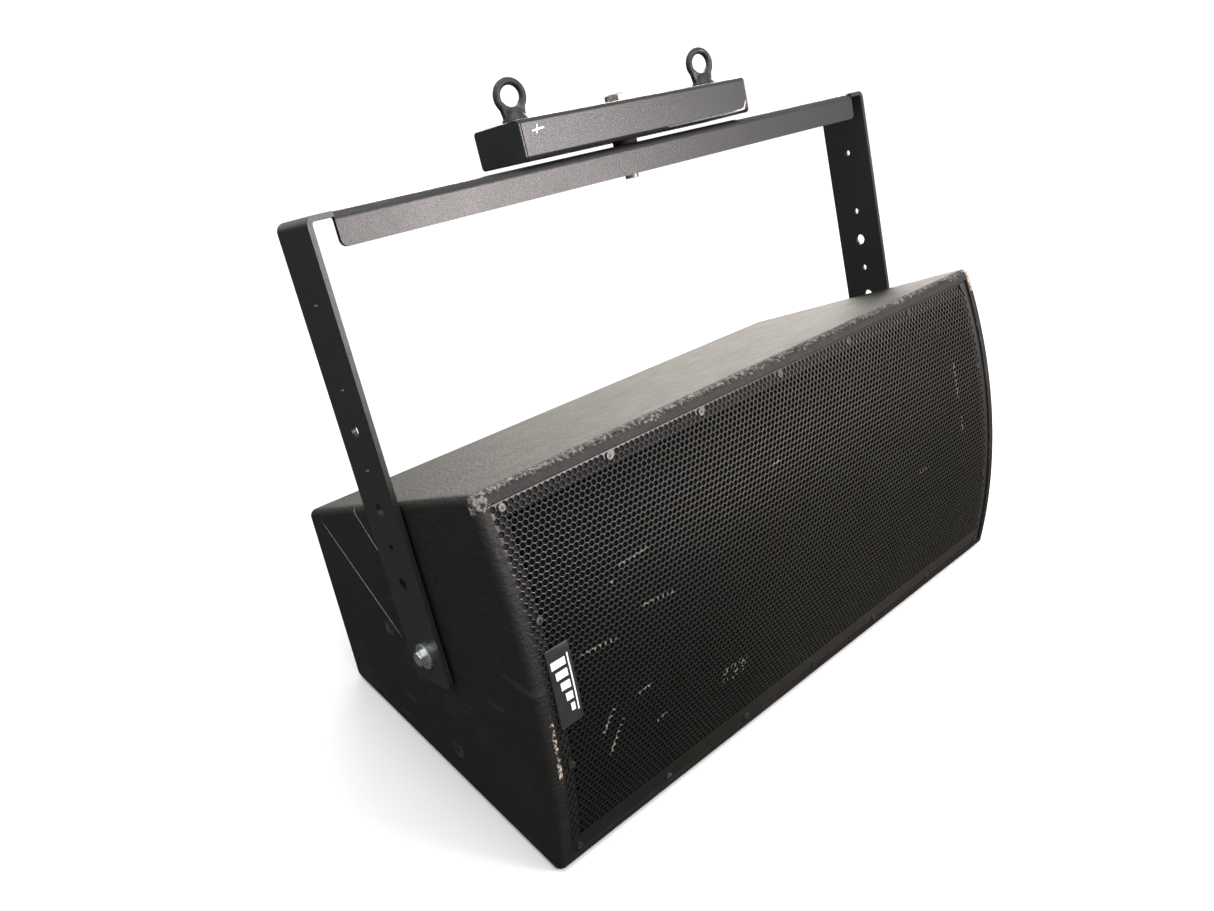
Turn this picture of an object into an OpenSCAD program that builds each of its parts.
// Trapezoid loudspeaker cabinet hung on its side in a steel yoke with a swivelling lifting bar.
// X runs along the cabinet, -Y is the grille side and Z is up. The cabinet rests on its lower side panel.

/* [Cabinet] */
// Length of the cabinet from end to end
cab_l = 1016; // [900:2:1200]
// Height of the front opening, edge to edge
cab_h = 512; // [480:2:560]
// Height of the narrow rear panel
rear_h = 280; // [240:2:340]
// Depth from the front edges to the rear panel
cab_d = 470; // [450:2:560]
// How far the curved front stands ahead of its edges
bulge = 35; // [25:1:45]
// Thickness of the plywood panels
wall = 18; // [15:1:22]
// Radius of the rounded long edges
edge_r = 12; // [6:1:14]
// Distance of the yoke pivot behind the front edges
pivot_back = 187.5; // [180:0.5:200]

/* [Grille] */
// Thickness of the steel grille
grille_t = 1.6; // [1:0.2:2.5]
// How far the grille lies behind the front edges
grille_recess = 3; // [2:0.5:6]
// Thickness of the foam behind the grille
foam_t = 8; // [5:1:12]
// Width of the battens that the grille is screwed to
batten_w = 20; // [18:1:24]
// Inset of the screws from the cabinet ends
screw_in_x = 34; // [30:1:36]
// Inset of the screws from the long front edges
screw_in_z = 26; // [25:1:28]
// Number of screws along each long edge
screws_long = 7; // [4:1:12]

/* [Yoke] */
// Outer width across the yoke arms
yoke_w = 1036; // [1034:1:1240]
// Thickness of the yoke plate
yoke_t = 6.35; // [5:0.05:8]
// Width of the arms and the crossbar
arm_w = 85.7; // [70:0.1:110]
// Height of the crossbar's top above the pivot
arm_h = 554; // [520:1:640]
// Length of the arms below the pivot
arm_tail = 40; // [30:1:50]
// Height of the stiffening flange at the front of the crossbar
flange_h = 41; // [30:1:50]
// Spacing of the holes along the arms
hole_pitch = 50.8; // [50:0.1:52]
// Radius of the large arm holes
big_hole_r = 8.75; // [7:0.05:10]
// Radius of the small arm holes
small_hole_r = 4.75; // [4:0.05:6]
// Lean of the yoke behind the vertical, in degrees
yoke_lean = 18; // [-60:1:60]

/* [Lifting bar] */
// Length of the bar
bar_l = 430; // [360:1:480]
// Width of the bar's rectangular tube
bar_w = 101.6; // [80:0.1:110]
// Height of the tube
bar_h = 50.8; // [40:0.1:60]
// Wall of the tube
bar_t = 4.75; // [3:0.25:6]
// Gap between the bar and the crossbar
bar_gap = 6; // [6:0.5:12]
// Inset of the eyebolts from the bar's ends
eye_in = 35; // [32:1:60]
// Middle radius of the eye's ring
eye_ring_r = 18.6; // [18:0.1:20]
// Radius of the eye's round section
eye_bar_r = 5; // [4.9:0.05:6]
// Clear radius of the eye
eye_bore_r = 13.8; // [13.5:0.1:14.5]
// How far the eyes are turned from the line of the bar, in degrees
eye_turn = 10; // [-20:1:20]

/* [Woofer and horn] */
// Outer radius of the woofer frame
woofer_r = 194; // [190:1:200]
// Position of the woofer's axis along the cabinet
woofer_x = -262; // [-270:1:-255]
// Position of the horn's axis along the cabinet
horn_x = 225; // [220:1:240]
// Width and height of the horn's mouth
horn_mouth = [396, 360];
// Length of the flare from mouth to throat
horn_len = 232; // [200:1:240]

/* [Hidden] */
$fn = 48;

slope = atan((cab_h - rear_h) / 2 / cab_d);     // angle of the side panels
arc_r = (cab_h * cab_h / 4 + bulge * bulge) / (2 * bulge);
arc_y = arc_r - bulge;                          // centre of the front curve
inner_l = cab_l - 2 * wall;
grille_r = arc_r - grille_recess;
grille_h = 2 * (inner_half(0) - 1);
baffle_y = 60;                                  // front face of the baffle
rear_in = cab_d - wall;                         // inner face of the rear panel
pivot_bolt_r = 6.35;
swivel_r = 9.525;
bend_r = 11.1;                                  // outer radius of the yoke's bends
arm_gap = yoke_w / 2 - yoke_t - cab_l / 2;      // space between an arm and the cabinet end
woofer_cut_r = woofer_r - 13;
woofer_screw_r = woofer_r - 6.5;
pole_r = 35.4;
coil_r = 37.2;                                  // outer radius of the voice coil's former
gap_r = 39.4;                                   // bore of the top plate
brace_x = -30;
throat_r = 25.4;
flare_wall = 4;
board_x = -140;
board_y = rear_in - 12;
input_x = -330;
insert_spots = [[pivot_back, 152.4], [pivot_back, -152.4], [297, 0]];

// Outer and inner half height of the box at depth y
function outer_half(y) = cab_h / 2 - y * tan(slope);
function inner_half(y) = outer_half(y) - wall / cos(slope);
function arc_points(y, z, r, a, b, n) = [for (i = [0:n]) [y + r * cos(a + (b - a) * i / n),
                                                         z + r * sin(a + (b - a) * i / n)]];
function mirrored(points) = [for (p = points) [p[0], -p[1]]];
function reversed(points) = [for (i = [len(points) - 1:-1:0]) points[i]];

function front_corner() = arc_points(corner_c[0], corner_c[1], edge_r, 180 - nose_angle, 90 - slope, 8);
function rear_corner() = arc_points(cab_d - edge_r, outer_half(cab_d - edge_r) - edge_r / cos(slope),
                                    edge_r, 90 - slope, 0, 8);

// The front corner's rounding touches the side panel's line and the front curve
from_arc = [-edge_r * sin(slope) - arc_y, cab_h / 2 - edge_r * cos(slope)];
along = from_arc[0] * cos(slope) - from_arc[1] * sin(slope);
reach = -along - sqrt(along * along - from_arc * from_arc + pow(arc_r - edge_r, 2));
corner_c = from_arc + [arc_y + reach * cos(slope), -reach * sin(slope)];
nose_angle = 180 - atan2(corner_c[1], corner_c[0] - arc_y);

outline = concat(
    arc_points(arc_y, 0, arc_r, 180 - nose_angle, 180 + nose_angle, 40),
    mirrored(front_corner()), mirrored(rear_corner()), reversed(rear_corner()), reversed(front_corner())
);
pivot_z = cab_h / 2 * cos(slope) - pivot_back * sin(slope);
standing_y = [for (p = outline) (p[0] - pivot_back) * cos(slope) + p[1] * sin(slope)];
pivot_y = -(min(standing_y) + max(standing_y)) / 2;

// ---- placing ----

// The cabinet's frame: y back from the front edges, z from mid-height
module in_cabinet() {
    translate([0, pivot_y, pivot_z]) rotate([-slope, 0, 0]) translate([0, -pivot_back, 0]) children();
}
// The yoke's frame: its origin is on the pivot axis, z along the arms
module in_yoke() {
    translate([0, pivot_y, pivot_z]) rotate([-yoke_lean, 0, 0]) children();
}
module in_bar() {
    in_yoke() translate([0, 0, arm_h + bar_gap]) children();
}
// Frames on the baffle's front face, z forward
module in_woofer() {
    in_cabinet() translate([woofer_x, baffle_y, 0]) rotate([90, 0, 0]) children();
}
module in_horn() {
    in_cabinet() translate([horn_x, baffle_y, 0]) rotate([90, 0, 0]) children();
}
// Turns a flat y-z shape into a bar along x
module across(length) {
    rotate([90, 0, 90]) linear_extrude(length, center = true) children();
}
// Places children on the front curve at height z, pointing outwards
module on_curve(x, z, r) {
    translate([x, arc_y, 0]) rotate([-asin(z / r), 0, 0]) translate([0, -r, 0]) rotate([90, 0, 0]) children();
}
module both_ends() {
    for (side = [0, 1]) mirror([side, 0, 0]) children();
}
module ring(r_out, r_in, h) {
    difference() {
        cylinder(h = h, r = r_out);
        translate([0, 0, -1]) cylinder(h = h + 2, r = r_in);
    }
}
module hex(across_flats, h) {
    chamfer = 0.08 * across_flats;
    intersection() {
        cylinder(h = h, d = across_flats / cos(30), $fn = 6);
        rotate_extrude() polygon([[0, 0], [0.6 * across_flats, 0], [0.6 * across_flats, h - chamfer],
                                  [0.48 * across_flats, h], [0, h]]);
    }
}
module rounded(w, h, r) {
    square([w - 2 * r, h], center = true);
    square([w, h - 2 * r], center = true);
    for (x = [-1, 1], y = [-1, 1]) translate([x * (w / 2 - r), y * (h / 2 - r)]) circle(r);
}
module lead(points, d) {
    for (i = [1:len(points) - 1])
        hull() {
            translate(points[i - 1]) sphere(d = d, $fn = 8);
            translate(points[i]) sphere(d = d, $fn = 8);
        }
}

// ---- cabinet box ----

module side_strip(thickness) {
    translate([0, cab_h / 2]) rotate(-slope) translate([-cab_d, -thickness]) square([3 * cab_d, thickness + 1]);
}
module end_panel() {
    difference() {
        translate([cab_l / 2 - wall / 2, 0, 0]) across(wall) polygon(outline);
        translate([inner_l / 2 - 1, pivot_back, 0]) rotate([0, 90, 0]) cylinder(h = wall + 2, r = 7);
        for (spot = insert_spots) translate([inner_l / 2 - 1, spot[0], spot[1]]) rotate([0, 90, 0]) {
            cylinder(h = wall + 2, r = 8.05);
            translate([0, 0, wall - 1]) cylinder(h = 3, r = 12.05);
        }
    }
}
module end_panel_left() {
    color("#1e1e1c") in_cabinet() mirror([1, 0, 0]) end_panel();
}
module end_panel_right() {
    color("#1e1e1c") in_cabinet() end_panel();
}
module side_panel() {
    across(inner_l) intersection() {
        polygon(outline);
        side_strip(wall);
    }
}
module side_panel_upper() {
    color("#2a2927") in_cabinet() side_panel();
}
module side_panel_lower() {
    color("#2a2927") in_cabinet() mirror([0, 0, 1]) side_panel();
}
module between_sides(y0, y1, gap = 0) {
    a = inner_half(y0) - gap;
    b = inner_half(y1) - gap;
    polygon([[y0, -a], [y1, -b], [y1, b], [y0, a]]);
}
input_cut = [128, 88];
module rear_panel() {
    color("#232321") in_cabinet() difference() {
        across(inner_l) between_sides(rear_in, cab_d);
        translate([input_x, rear_in - 1, 0]) rotate([-90, 0, 0]) linear_extrude(wall + 2)
            square(input_cut, center = true);
        translate([input_x, cab_d - 3, 0]) rotate([-90, 0, 0]) {
            linear_extrude(4) rounded(150.6, 110.6, 6.3);
            input_screw_spots() cylinder(h = 3 * wall, r = 2.1, center = true);
        }
    }
}
module baffle() {
    color("#3a2f22") in_cabinet() difference() {
        across(inner_l) between_sides(baffle_y, baffle_y + wall);
        translate([woofer_x, baffle_y - 1, 0]) rotate([-90, 0, 0]) {
            cylinder(h = wall + 2, r = woofer_cut_r);
            for (i = [0:7]) rotate([0, 0, i * 45 + 22.5]) translate([woofer_screw_r, 0, 0])
                cylinder(h = wall + 2, r = 4);
        }
        translate([horn_x, baffle_y - 1, 0]) rotate([-90, 0, 0]) linear_extrude(wall + 2)
            square(horn_mouth + [14, 14], center = true);
        translate([horn_x, baffle_y, 0]) rotate([90, 0, 0]) horn_screw_spots()
            cylinder(h = 3 * wall, r = 2.5, center = true);
    }
}
module brace() {
    margin = 55;
    y0 = baffle_y + wall;
    color("#a9834f") in_cabinet() translate([brace_x, 0, 0]) across(wall) difference() {
        between_sides(y0, rear_in);
        between_sides(y0 + margin, rear_in - margin, margin);
    }
}
module backing_plates() {
    color("#8c8f92") in_cabinet() both_ends() translate([inner_l / 2 - 6, pivot_back, 0]) rotate([0, 90, 0])
        difference() {
            linear_extrude(6) rounded(100, 100, 8);
            translate([0, 0, -1]) cylinder(h = 8, r = pivot_bolt_r + 0.05);
            for (x = [-38, 38], y = [-38, 38]) translate([x, y, -1]) cylinder(h = 8, r = 2.6);
        }
}
module backing_screws() {
    color("#b9bcbf") in_cabinet() both_ends() for (y = [-38, 38], z = [-38, 38])
        translate([inner_l / 2 - 6, pivot_back + y, z]) rotate([0, -90, 0]) {
            cylinder(h = 3, r = 4.5);
            translate([0, 0, -6]) cylinder(h = 7, r = 2.5);
        }
}
module rigging_inserts() {
    color("#6f7174") in_cabinet() both_ends() for (spot = insert_spots)
        translate([cab_l / 2, spot[0], spot[1]]) rotate([0, -90, 0]) difference() {
            union() {
                cylinder(h = 1, r = 12);
                cylinder(h = wall, r = 8);
            }
            translate([0, 0, -1]) cylinder(h = 15 + 1, r = 3.97);
        }
}
module damping_lining() {
    pad = 20;
    y0 = 112;
    y1 = 420;
    color("#8d8a80") in_cabinet() for (side = [0, 1], run = [[-480, -48], [-12, 480]])
        mirror([0, 0, side]) translate([(run[0] + run[1]) / 2, 0, 0]) across(run[1] - run[0])
            polygon([[y0, inner_half(y0)], [y1, inner_half(y1)],
                     [y1, inner_half(y1) - pad], [y0, inner_half(y0) - pad]]);
}

// ---- grille ----

module curved_sheet(r_out, thickness, height) {
    intersection() {
        translate([arc_y, 0]) difference() {
            circle(r_out, $fn = 240);
            circle(r_out - thickness, $fn = 240);
        }
        translate([-bulge - 10, -height / 2]) square([bulge + 30, height]);
    }
}
screw_x = cab_l / 2 - screw_in_x;
screw_z = cab_h / 2 - screw_in_z;
mid_screw_z = 97;
grille_spots = concat(
    [for (i = [0:screws_long - 1], side = [-1, 1])
        [-screw_x + i * 2 * screw_x / (screws_long - 1), side * screw_z]],
    [for (x = [-screw_x, screw_x], z = [-mid_screw_z, mid_screw_z]) [x, z]]
);
module at_grille_screws() {
    for (spot = grille_spots) on_curve(spot[0], spot[1], grille_r) children();
}
module grille() {
    color("#2b2b29") in_cabinet() difference() {
        across(inner_l - 2) curved_sheet(grille_r, grille_t, grille_h);
        at_grille_screws() translate([0, 0, -5]) cylinder(h = 10, r = 2.4);
    }
}
module grille_foam() {
    color("#101010") in_cabinet()
        across(inner_l - 2 * batten_w - 6)
            curved_sheet(grille_r - grille_t - 0.2, foam_t, 2 * (inner_half(0) - batten_w - 3));
}
batten_back = 26;
module batten_front() {
    translate([arc_y, 0]) circle(grille_r - grille_t - 0.2, $fn = 240);
}
module grille_rails() {
    color("#1c1b19") in_cabinet() difference() {
        for (side = [0, 1]) mirror([0, 0, side]) across(inner_l) intersection() {
            batten_front();
            translate([-bulge, inner_half(0) - batten_w]) square([bulge + batten_back, batten_w + 10]);
            between_sides(-bulge, batten_back);
        }
        at_grille_screws() translate([0, 0, -18]) cylinder(h = 20, r = 2.05);
    }
}
module grille_ribs() {
    half = inner_half(0) - batten_w;
    color("#1c1b19") in_cabinet() difference() {
        both_ends() translate([inner_l / 2 - batten_w / 2, 0, 0]) across(batten_w) intersection() {
            batten_front();
            translate([-bulge, -half]) square([bulge + batten_back, 2 * half]);
        }
        at_grille_screws() translate([0, 0, -18]) cylinder(h = 20, r = 2.05);
    }
}
module grille_screws() {
    color("#3c3c3a") in_cabinet() at_grille_screws() difference() {
        union() {
            cylinder(h = 2.6, r = 4.6);
            translate([0, 0, -17]) cylinder(h = 17.5, r = 2);
        }
        for (turn = [0, 90]) rotate([0, 0, turn]) translate([-2.4, -0.5, 1.2]) cube([4.8, 1, 3]);
    }
}
module badge() {
    badge_x = -462.5;
    badge_tilt = 0.45;    // degrees round the front curve, up from mid-height
    color("#1b1c1d") in_cabinet() translate([badge_x, arc_y, 0]) rotate([-badge_tilt, 0, 0])
        translate([0, -arc_y, 0]) across(34) curved_sheet(grille_r + 1.7, 1.5, 104);
}

// ---- woofer, frame z forward from the baffle ----

module woofer_basket() {
    color("#33343a") in_woofer() difference() {
        rotate_extrude($fn = 96) polygon([
            [177, 8], [woofer_r, 8], [woofer_r, 2], [180, 2], [180, -8], [105, -98],
            [62, -98], [62, -92], [96, -92], [96, -83], [106, -83], [168, -8], [168, -3.4], [177, -3.4]
        ]);
        for (i = [0:7]) rotate([0, 0, i * 45]) {
            translate([60, -25, -80]) cube([130, 50, 64]);
            rotate([0, 0, 22.5]) translate([woofer_screw_r, 0, 1]) cylinder(h = 10, r = 3.2);
        }
    }
}
module woofer_gasket() {
    color("#141414") in_woofer() difference() {
        ring(woofer_r - 0.5, woofer_cut_r, 2);
        for (i = [0:7]) rotate([0, 0, i * 45 + 22.5]) translate([woofer_screw_r, 0, -1])
            cylinder(h = 4, r = 3.2);
    }
}
module woofer_top_plate() {
    color("#7d8084") in_woofer() translate([0, 0, -106]) ring(92, gap_r, 8);
}
module woofer_magnet() {
    color("#3a3a3c") in_woofer() translate([0, 0, -126]) ring(98, 50, 20);
}
module woofer_yoke() {
    color("#7d8084") in_woofer() {
        translate([0, 0, -136]) cylinder(h = 10, r = 92);
        translate([0, 0, -127]) cylinder(h = 30, r = pole_r);
    }
}
module woofer_screws() {
    color("#2c2c2e") in_woofer() for (i = [0:7]) rotate([0, 0, i * 45 + 22.5]) translate([woofer_screw_r, 0, 0]) {
        translate([0, 0, 8]) cylinder(h = 4, r = 5);
        translate([0, 0, -18]) cylinder(h = 27, r = 2.9);
    }
}
module woofer_tee_nuts() {
    color("#b9bcbf") in_woofer() for (i = [0:7]) rotate([0, 0, i * 45 + 22.5])
        translate([woofer_screw_r, 0, -wall]) {
            translate([0, 0, -1.5]) ring(9, 3, 1.5);
            ring(3.9, 3, 10);
        }
}
module woofer_cone() {
    color("#26272a") in_woofer() rotate_extrude($fn = 96) polygon([
        [coil_r, -60], [150, -5], [157, -5], [157, -3.4], [149.4, -3.4], [coil_r, -58.2]
    ]);
}
module dust_cap() {
    dome_r = 60;
    foot_r = 44;
    dome_z = -54.6 - sqrt(dome_r * dome_r - foot_r * foot_r);
    color("#1f2023") in_woofer() intersection() {
        translate([0, 0, dome_z]) difference() {
            sphere(dome_r, $fn = 64);
            sphere(dome_r - 1.2, $fn = 64);
        }
        translate([0, 0, -54.6]) cylinder(h = 40, r = foot_r + 2);
    }
}
module voice_coil() {
    color("#b87333") in_woofer() {
        translate([0, 0, -111]) ring(coil_r, coil_r - 0.8, 55);
        translate([0, 0, -110]) ring(coil_r + 1.2, coil_r - 0.1, 16);
    }
}
module surround() {
    roll_r = 7.5;
    mid_r = 164.5;
    color("#1a1a1a") in_woofer() rotate_extrude($fn = 96) {
        translate([mid_r, -3.4]) intersection() {
            difference() {
                circle(roll_r);
                circle(roll_r - 1);
            }
            translate([-10, 0]) square([20, 10]);
        }
        translate([150, -3.4]) square([7.7, 1]);
        translate([171.3, -3.4]) square([5, 1]);
    }
}
module spider() {
    folds = 12;
    r0 = coil_r + 0.1;
    r1 = 105;
    top = [for (i = [0:folds]) [r0 + (r1 - r0) * i / folds, -81 + (i % 2 == 0 ? 0 : 3)]];
    color("#c9a352") in_woofer() rotate_extrude($fn = 96)
        polygon(concat(top, reversed([for (p = top) p - [0, 1]])));
}

// ---- horn, same frame as the woofer ----

mid_z = -150;
mid_size = [150, 110];
module slab(size, z) {
    translate([0, 0, z]) linear_extrude(0.5) square(size, center = true);
}
module flare_body(grow) {
    hull() {
        slab(horn_mouth + [2 * grow, 2 * grow], 0);
        slab(mid_size + [2 * grow, 2 * grow], mid_z);
    }
    hull() {
        slab(mid_size + [2 * grow, 2 * grow], mid_z);
        translate([0, 0, -horn_len]) cylinder(h = 0.5, r = throat_r + grow, $fn = 32);
    }
}
module horn_flare() {
    flange = horn_mouth + [44, 40];
    color("#232426") in_horn() difference() {
        union() {
            flare_body(flare_wall);
            difference() {
                linear_extrude(6) square(flange, center = true);
                horn_screw_spots() cylinder(h = 20, r = 2.6, center = true);
            }
            translate([0, 0, -horn_len - 8]) cylinder(h = 8, r = 65);
        }
        flare_body(0);
        translate([0, 0, -1]) linear_extrude(10) square(horn_mouth, center = true);
        translate([0, 0, -horn_len - 9]) cylinder(h = 10, r = throat_r);
        throat_bolts() cylinder(h = 40, r = 3.2, center = true);
    }
}
module horn_screw_spots() {
    dx = horn_mouth[0] / 2 + 14;
    dy = horn_mouth[1] / 2 + 13;
    for (x = [-1, -1 / 3, 1 / 3, 1], y = [-dy, dy]) translate([x * dx, y, 0]) children();
    for (x = [-dx, dx]) translate([x, 0, 0]) children();
}
module throat_bolts() {
    for (i = [0:3]) rotate([0, 0, 45 + 90 * i]) translate([50.8, 0, -horn_len]) children();
}
module horn_screws() {
    color("#2c2c2e") in_horn() horn_screw_spots() {
        translate([0, 0, 6]) cylinder(h = 3, r = 4.5);
        translate([0, 0, -12]) cylinder(h = 18.5, r = 2.4);
    }
}
module compression_driver() {
    color("#4a4c50") in_horn() translate([0, 0, -horn_len - 8]) difference() {
        rotate_extrude($fn = 96) polygon([[throat_r, 0], [70, 0], [70, -10], [88, -14],
                                          [88, -52], [0, -52], [0, -40], [throat_r, -30]]);
        for (i = [0:3]) rotate([0, 0, 45 + 90 * i]) translate([50.8, 0, -11]) cylinder(h = 12, r = 3.05);
    }
}
module driver_cap() {
    color("#2e3033") in_horn() translate([0, 0, -horn_len - 8 - 52]) rotate([180, 0, 0]) {
        cylinder(h = 14, r = 62);
        cylinder(h = 19, r = 54);
    }
}
module driver_bolts() {
    color("#b9bcbf") in_horn() throat_bolts() {
        hex(10, 4);
        translate([0, 0, -17]) cylinder(h = 17.5, r = 3);
    }
}

// ---- crossover and input ----

module crossover_board() {
    color("#3f5b34") in_cabinet() translate([board_x, board_y, 0]) rotate([90, 0, 0]) difference() {
        linear_extrude(2) square([180, 140], center = true);
        for (x = [-80, 80], y = [-60, 60]) translate([x, y, -1]) cylinder(h = 4, r = 2.1);
    }
}
module crossover_standoffs() {
    color("#b9bcbf") in_cabinet() for (x = [-80, 80], z = [-60, 60])
        translate([board_x + x, rear_in, z]) rotate([90, 0, 0]) {
            cylinder(h = 12, r = 4);
            cylinder(h = 17, r = 2);
            translate([0, 0, 14]) cylinder(h = 3, r = 4);
        }
}
module crossover_coils() {
    color("#b06a33") in_cabinet() for (spot = [[-48, 32, 30], [-48, -34, 26], [24, 36, 22]])
        translate([board_x + spot[0], board_y - 2, spot[1]]) rotate([90, 0, 0]) ring(spot[2], spot[2] / 2.2, 24);
}
module crossover_capacitors() {
    color("#26415e") in_cabinet() for (z = [-54, -27, 0]) translate([board_x + 12, board_y - 15, z])
        rotate([0, 90, 0]) cylinder(h = 52, r = 12.5);
}
module input_plate() {
    color("#17181a") in_cabinet() translate([input_x, cab_d - 3, 0]) rotate([-90, 0, 0]) difference() {
        linear_extrude(3) rounded(150, 110, 6);
        for (x = [-32, 32]) translate([x, 0, -1]) cylinder(h = 5, r = 15.2);
        input_screw_spots() cylinder(h = 10, r = 2.3, center = true);
    }
}
module input_screw_spots() {
    for (x = [-68, 68], y = [-48, 48]) translate([x, y, 0]) children();
}
module input_sockets() {
    color("#24262b") in_cabinet() for (x = [-32, 32]) translate([input_x + x, cab_d, 0]) rotate([90, 0, 0])
        difference() {
            cylinder(h = 26, r = 15);
            translate([0, 0, -1]) ring(11.5, 5.5, 17);
            translate([10, -2.2, -1]) cube([3.6, 4.4, 17]);
            translate([-12.6, -1.4, -1]) cube([3.6, 2.8, 17]);
        }
}
module input_screws() {
    color("#8f9296") in_cabinet() translate([input_x, cab_d, 0]) rotate([-90, 0, 0]) input_screw_spots() {
        cylinder(h = 2, r = 4);
        translate([0, 0, -14]) cylinder(h = 14.5, r = 2);
    }
}
module wire_input() {
    color("#8f2020") in_cabinet() for (z = [-8, 8])
        lead([[-300, 440, z], [-296, 420, z], [-262, 414, z + 4], [-232, 428, z + 4], [-228, 434, z + 4]], 4);
}
module wire_woofer() {
    color("#202020") in_cabinet() for (x = [0, 7])
        lead([[-150 + x, 434, -64], [-152 + x, 400, -84], [-200 + x, 300, -100], [-250 + x, 220, -112],
              [-258 + x, 175, -122]], 4);
}
module wire_horn() {
    color("#30508a") in_cabinet() for (z = [0, 7])
        lead([[-62, 434, 40 + z], [-60, 390, 44 + z], [-10, 370, 50 + z], [90, 390, 40 + z],
              [150, 404, 20 + z], [200, 402, 8 + z]], 4);
}

// ---- pivots and yoke ----

washer_t = 3;
washer_gap = 0.15;
module pivot_bolts() {
    head_x = yoke_w / 2 + washer_gap + washer_t;
    color("#c4c8cb") in_cabinet() both_ends() translate([head_x, pivot_back, 0]) rotate([0, 90, 0]) {
        hex(19.05, 8.5);
        translate([0, 0, -42]) cylinder(h = 42.5, r = pivot_bolt_r);
    }
}
module pivot_washers() {
    color("#b4b8ba") in_cabinet() both_ends() translate([yoke_w / 2 + washer_gap, pivot_back, 0])
        rotate([0, 90, 0]) ring(17.5, pivot_bolt_r + 0.15, washer_t);
}
module pivot_pads() {
    color("#151515") in_cabinet() both_ends() translate([cab_l / 2, pivot_back, 0])
        rotate([0, 90, 0]) ring(30, pivot_bolt_r + 0.15, arm_gap - 0.15);
}
arm_corner_r = 12;
flange_corner_r = 9;
// What is cut away outside a round lower right corner
module corner_cut(r) {
    difference() {
        translate([0, -r - 1]) square(r + 1);
        circle(r);
    }
}
module u_profile() {
    half = yoke_w / 2;
    for (side = [0, 1]) mirror([side, 0]) {
        translate([half - yoke_t, -arm_tail]) square([yoke_t, arm_tail + arm_h - bend_r]);
        translate([half - bend_r, arm_h - bend_r]) intersection() {
            difference() {
                circle(bend_r);
                circle(bend_r - yoke_t);
            }
            square(bend_r);
        }
    }
    translate([-half + bend_r, arm_h - yoke_t]) square([2 * (half - bend_r), yoke_t]);
}
flange_end = yoke_w / 2 - 33.4;
module yoke_flange() {
    translate([0, -arm_w / 2 + bend_r, arm_h - bend_r]) across(2 * flange_end) rotate(90) intersection() {
        difference() {
            circle(bend_r);
            circle(bend_r - yoke_t);
        }
        square(bend_r);
    }
    difference() {
        translate([-flange_end, -arm_w / 2, arm_h - flange_h])
            cube([2 * flange_end, yoke_t, flange_h - bend_r]);
        translate([0, -arm_w / 2 + yoke_t + 1, 0]) rotate([90, 0, 0]) linear_extrude(yoke_t + 2)
            for (side = [0, 1]) mirror([side, 0])
                translate([flange_end - flange_corner_r, arm_h - flange_h + flange_corner_r])
                    corner_cut(flange_corner_r);
    }
}
module u_bracket() {
    color("#34302f") in_yoke() difference() {
        union() {
            difference() {
                rotate([90, 0, 0]) linear_extrude(arm_w, center = true) u_profile();
                translate([-flange_end, -arm_w / 2 - 1, arm_h - bend_r - 1])
                    cube([2 * flange_end, bend_r + 1, bend_r + 2]);
            }
            yoke_flange();
        }
        for (k = [0:9]) if (k != 1 && k != 8) translate([0, 0, k * hole_pitch]) rotate([0, 90, 0])
            cylinder(h = yoke_w + 10, r = k == 0 ? 6.75 : k % 2 == 0 ? big_hole_r : small_hole_r, center = true);
        translate([0, 0, arm_h - yoke_t - 1]) cylinder(h = yoke_t + 2, r = swivel_r + 0.4);
        across(yoke_w + 10) for (side = [0, 1]) mirror([side, 0])
            translate([arm_w / 2 - arm_corner_r, arm_corner_r - arm_tail]) corner_cut(arm_corner_r);
    }
}

// ---- lifting bar, z up from its underside ----

cap_t = 4;
module lifting_bar() {
    color("#3b3736") in_bar() difference() {
        translate([0, 0, bar_h / 2]) across(bar_l - 2 * cap_t) difference() {
            rounded(bar_w, bar_h, 6);
            rounded(bar_w - 2 * bar_t, bar_h - 2 * bar_t, 2);
        }
        translate([0, 0, -1]) cylinder(h = bar_h + 2, r = swivel_r + 0.1);
        for (side = [-1, 1]) translate([side * (bar_l / 2 - eye_in), 0, bar_h - bar_t - 1])
            cylinder(h = bar_t + 2, r = swivel_r + 0.1);
    }
}
module bar_end_caps() {
    color("#3b3736") in_bar() both_ends() translate([bar_l / 2 - cap_t / 2, 0, bar_h / 2]) across(cap_t)
        rounded(bar_w, bar_h, 6);
}
module eyebolt() {
    eye_z = 33;
    cheek_t = 9;
    difference() {
        union() {
            rotate_extrude() polygon([[0, 0], [17.5, 0], [18, 1.5], [17.2, 4], [14, 8], [12, 12], [11, 16],
                                      [0, 16]]);
            rotate([90, 0, 0]) linear_extrude(cheek_t, center = true)
                polygon([[-15, 5], [15, 5], [eye_ring_r, 26], [-eye_ring_r, 26]]);
            translate([0, 0, eye_z]) rotate([90, 0, 0]) rotate_extrude($fn = 64)
                translate([eye_ring_r, 0]) circle(eye_bar_r, $fn = 32);
            translate([0, 0, -34]) cylinder(h = 35, r = swivel_r);
        }
        translate([0, 0, eye_z]) rotate([90, 0, 0]) cylinder(h = 60, r = eye_bore_r, center = true);
    }
}
module eyebolt_left() {
    color("#4c4a47") in_bar() translate([-(bar_l / 2 - eye_in), 0, bar_h]) rotate([0, 0, -eye_turn]) eyebolt();
}
module eyebolt_right() {
    color("#4c4a47") in_bar() translate([bar_l / 2 - eye_in, 0, bar_h]) rotate([0, 0, -eye_turn]) eyebolt();
}
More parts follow.
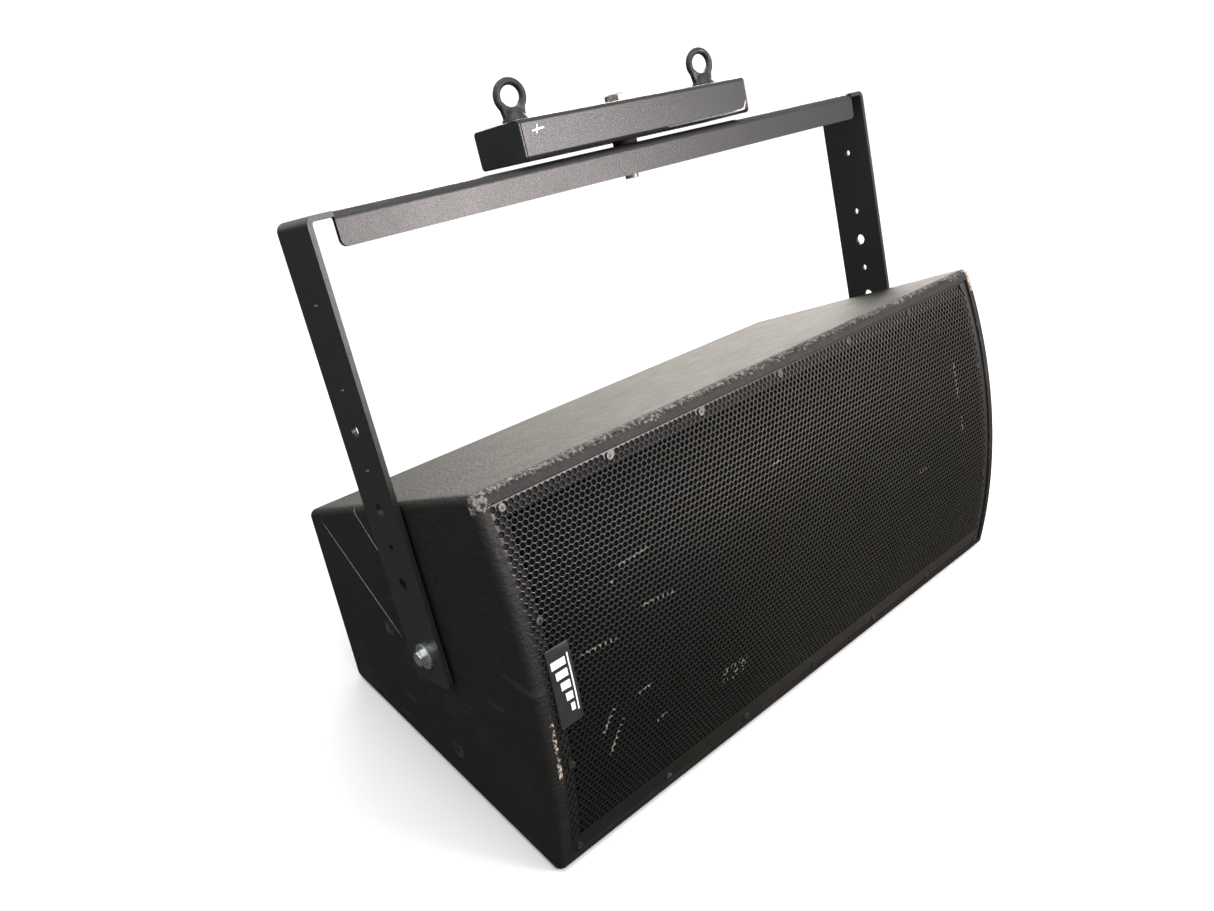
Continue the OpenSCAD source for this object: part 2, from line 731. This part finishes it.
module eyebolt_nuts() {
    nut_h = 16;
    color("#7b7f82") in_bar() for (side = [-1, 1])
        translate([side * (bar_l / 2 - eye_in), 0, bar_h - bar_t - nut_h]) difference() {
            hex(28.6, nut_h);
            translate([0, 0, -1]) cylinder(h = nut_h + 2, r = swivel_r + 0.05);
        }
}
bolt_drop = 47 + bar_gap;     // how far the swivel bolt reaches below the bar
module swivel_bolt() {
    color("#8f8d88") in_bar() {
        translate([0, 0, bar_h]) hex(28.6, 12);
        translate([0, 0, -bolt_drop]) cylinder(h = bolt_drop + bar_h + 0.5, r = swivel_r);
    }
}
module swivel_spacer() {
    color("#1f1c1b") in_bar() translate([0, 0, -bar_gap + 0.15]) ring(17.5, swivel_r + 0.15, bar_gap - 0.15);
}
module swivel_washer() {
    color("#8f8d88") in_bar() translate([0, 0, -bar_gap - yoke_t - 0.15 - 3.4]) ring(19, swivel_r + 0.15, 3.4);
}
module swivel_nut() {
    nut_h = 16;
    color("#8f8d88") in_bar() translate([0, 0, -bar_gap - yoke_t - 0.15 - 3.4 - nut_h]) difference() {
        hex(28.6, nut_h);
        translate([0, 0, -1]) cylinder(h = nut_h + 2, r = swivel_r + 0.05);
    }
}

end_panel_left();
end_panel_right();
side_panel_upper();
side_panel_lower();
rear_panel();
baffle();
brace();
grille_rails();
grille_ribs();
grille();
grille_foam();
grille_screws();
badge();
backing_plates();
backing_screws();
rigging_inserts();
damping_lining();
woofer_basket();
woofer_gasket();
woofer_top_plate();
woofer_magnet();
woofer_yoke();
woofer_screws();
woofer_tee_nuts();
woofer_cone();
dust_cap();
voice_coil();
surround();
spider();
horn_flare();
horn_screws();
compression_driver();
driver_cap();
driver_bolts();
crossover_board();
crossover_standoffs();
crossover_coils();
crossover_capacitors();
input_plate();
input_sockets();
input_screws();
wire_input();
wire_woofer();
wire_horn();
pivot_bolts();
pivot_washers();
pivot_pads();
u_bracket();
lifting_bar();
bar_end_caps();
eyebolt_left();
eyebolt_right();
eyebolt_nuts();
swivel_bolt();
swivel_spacer();
swivel_washer();
swivel_nut();
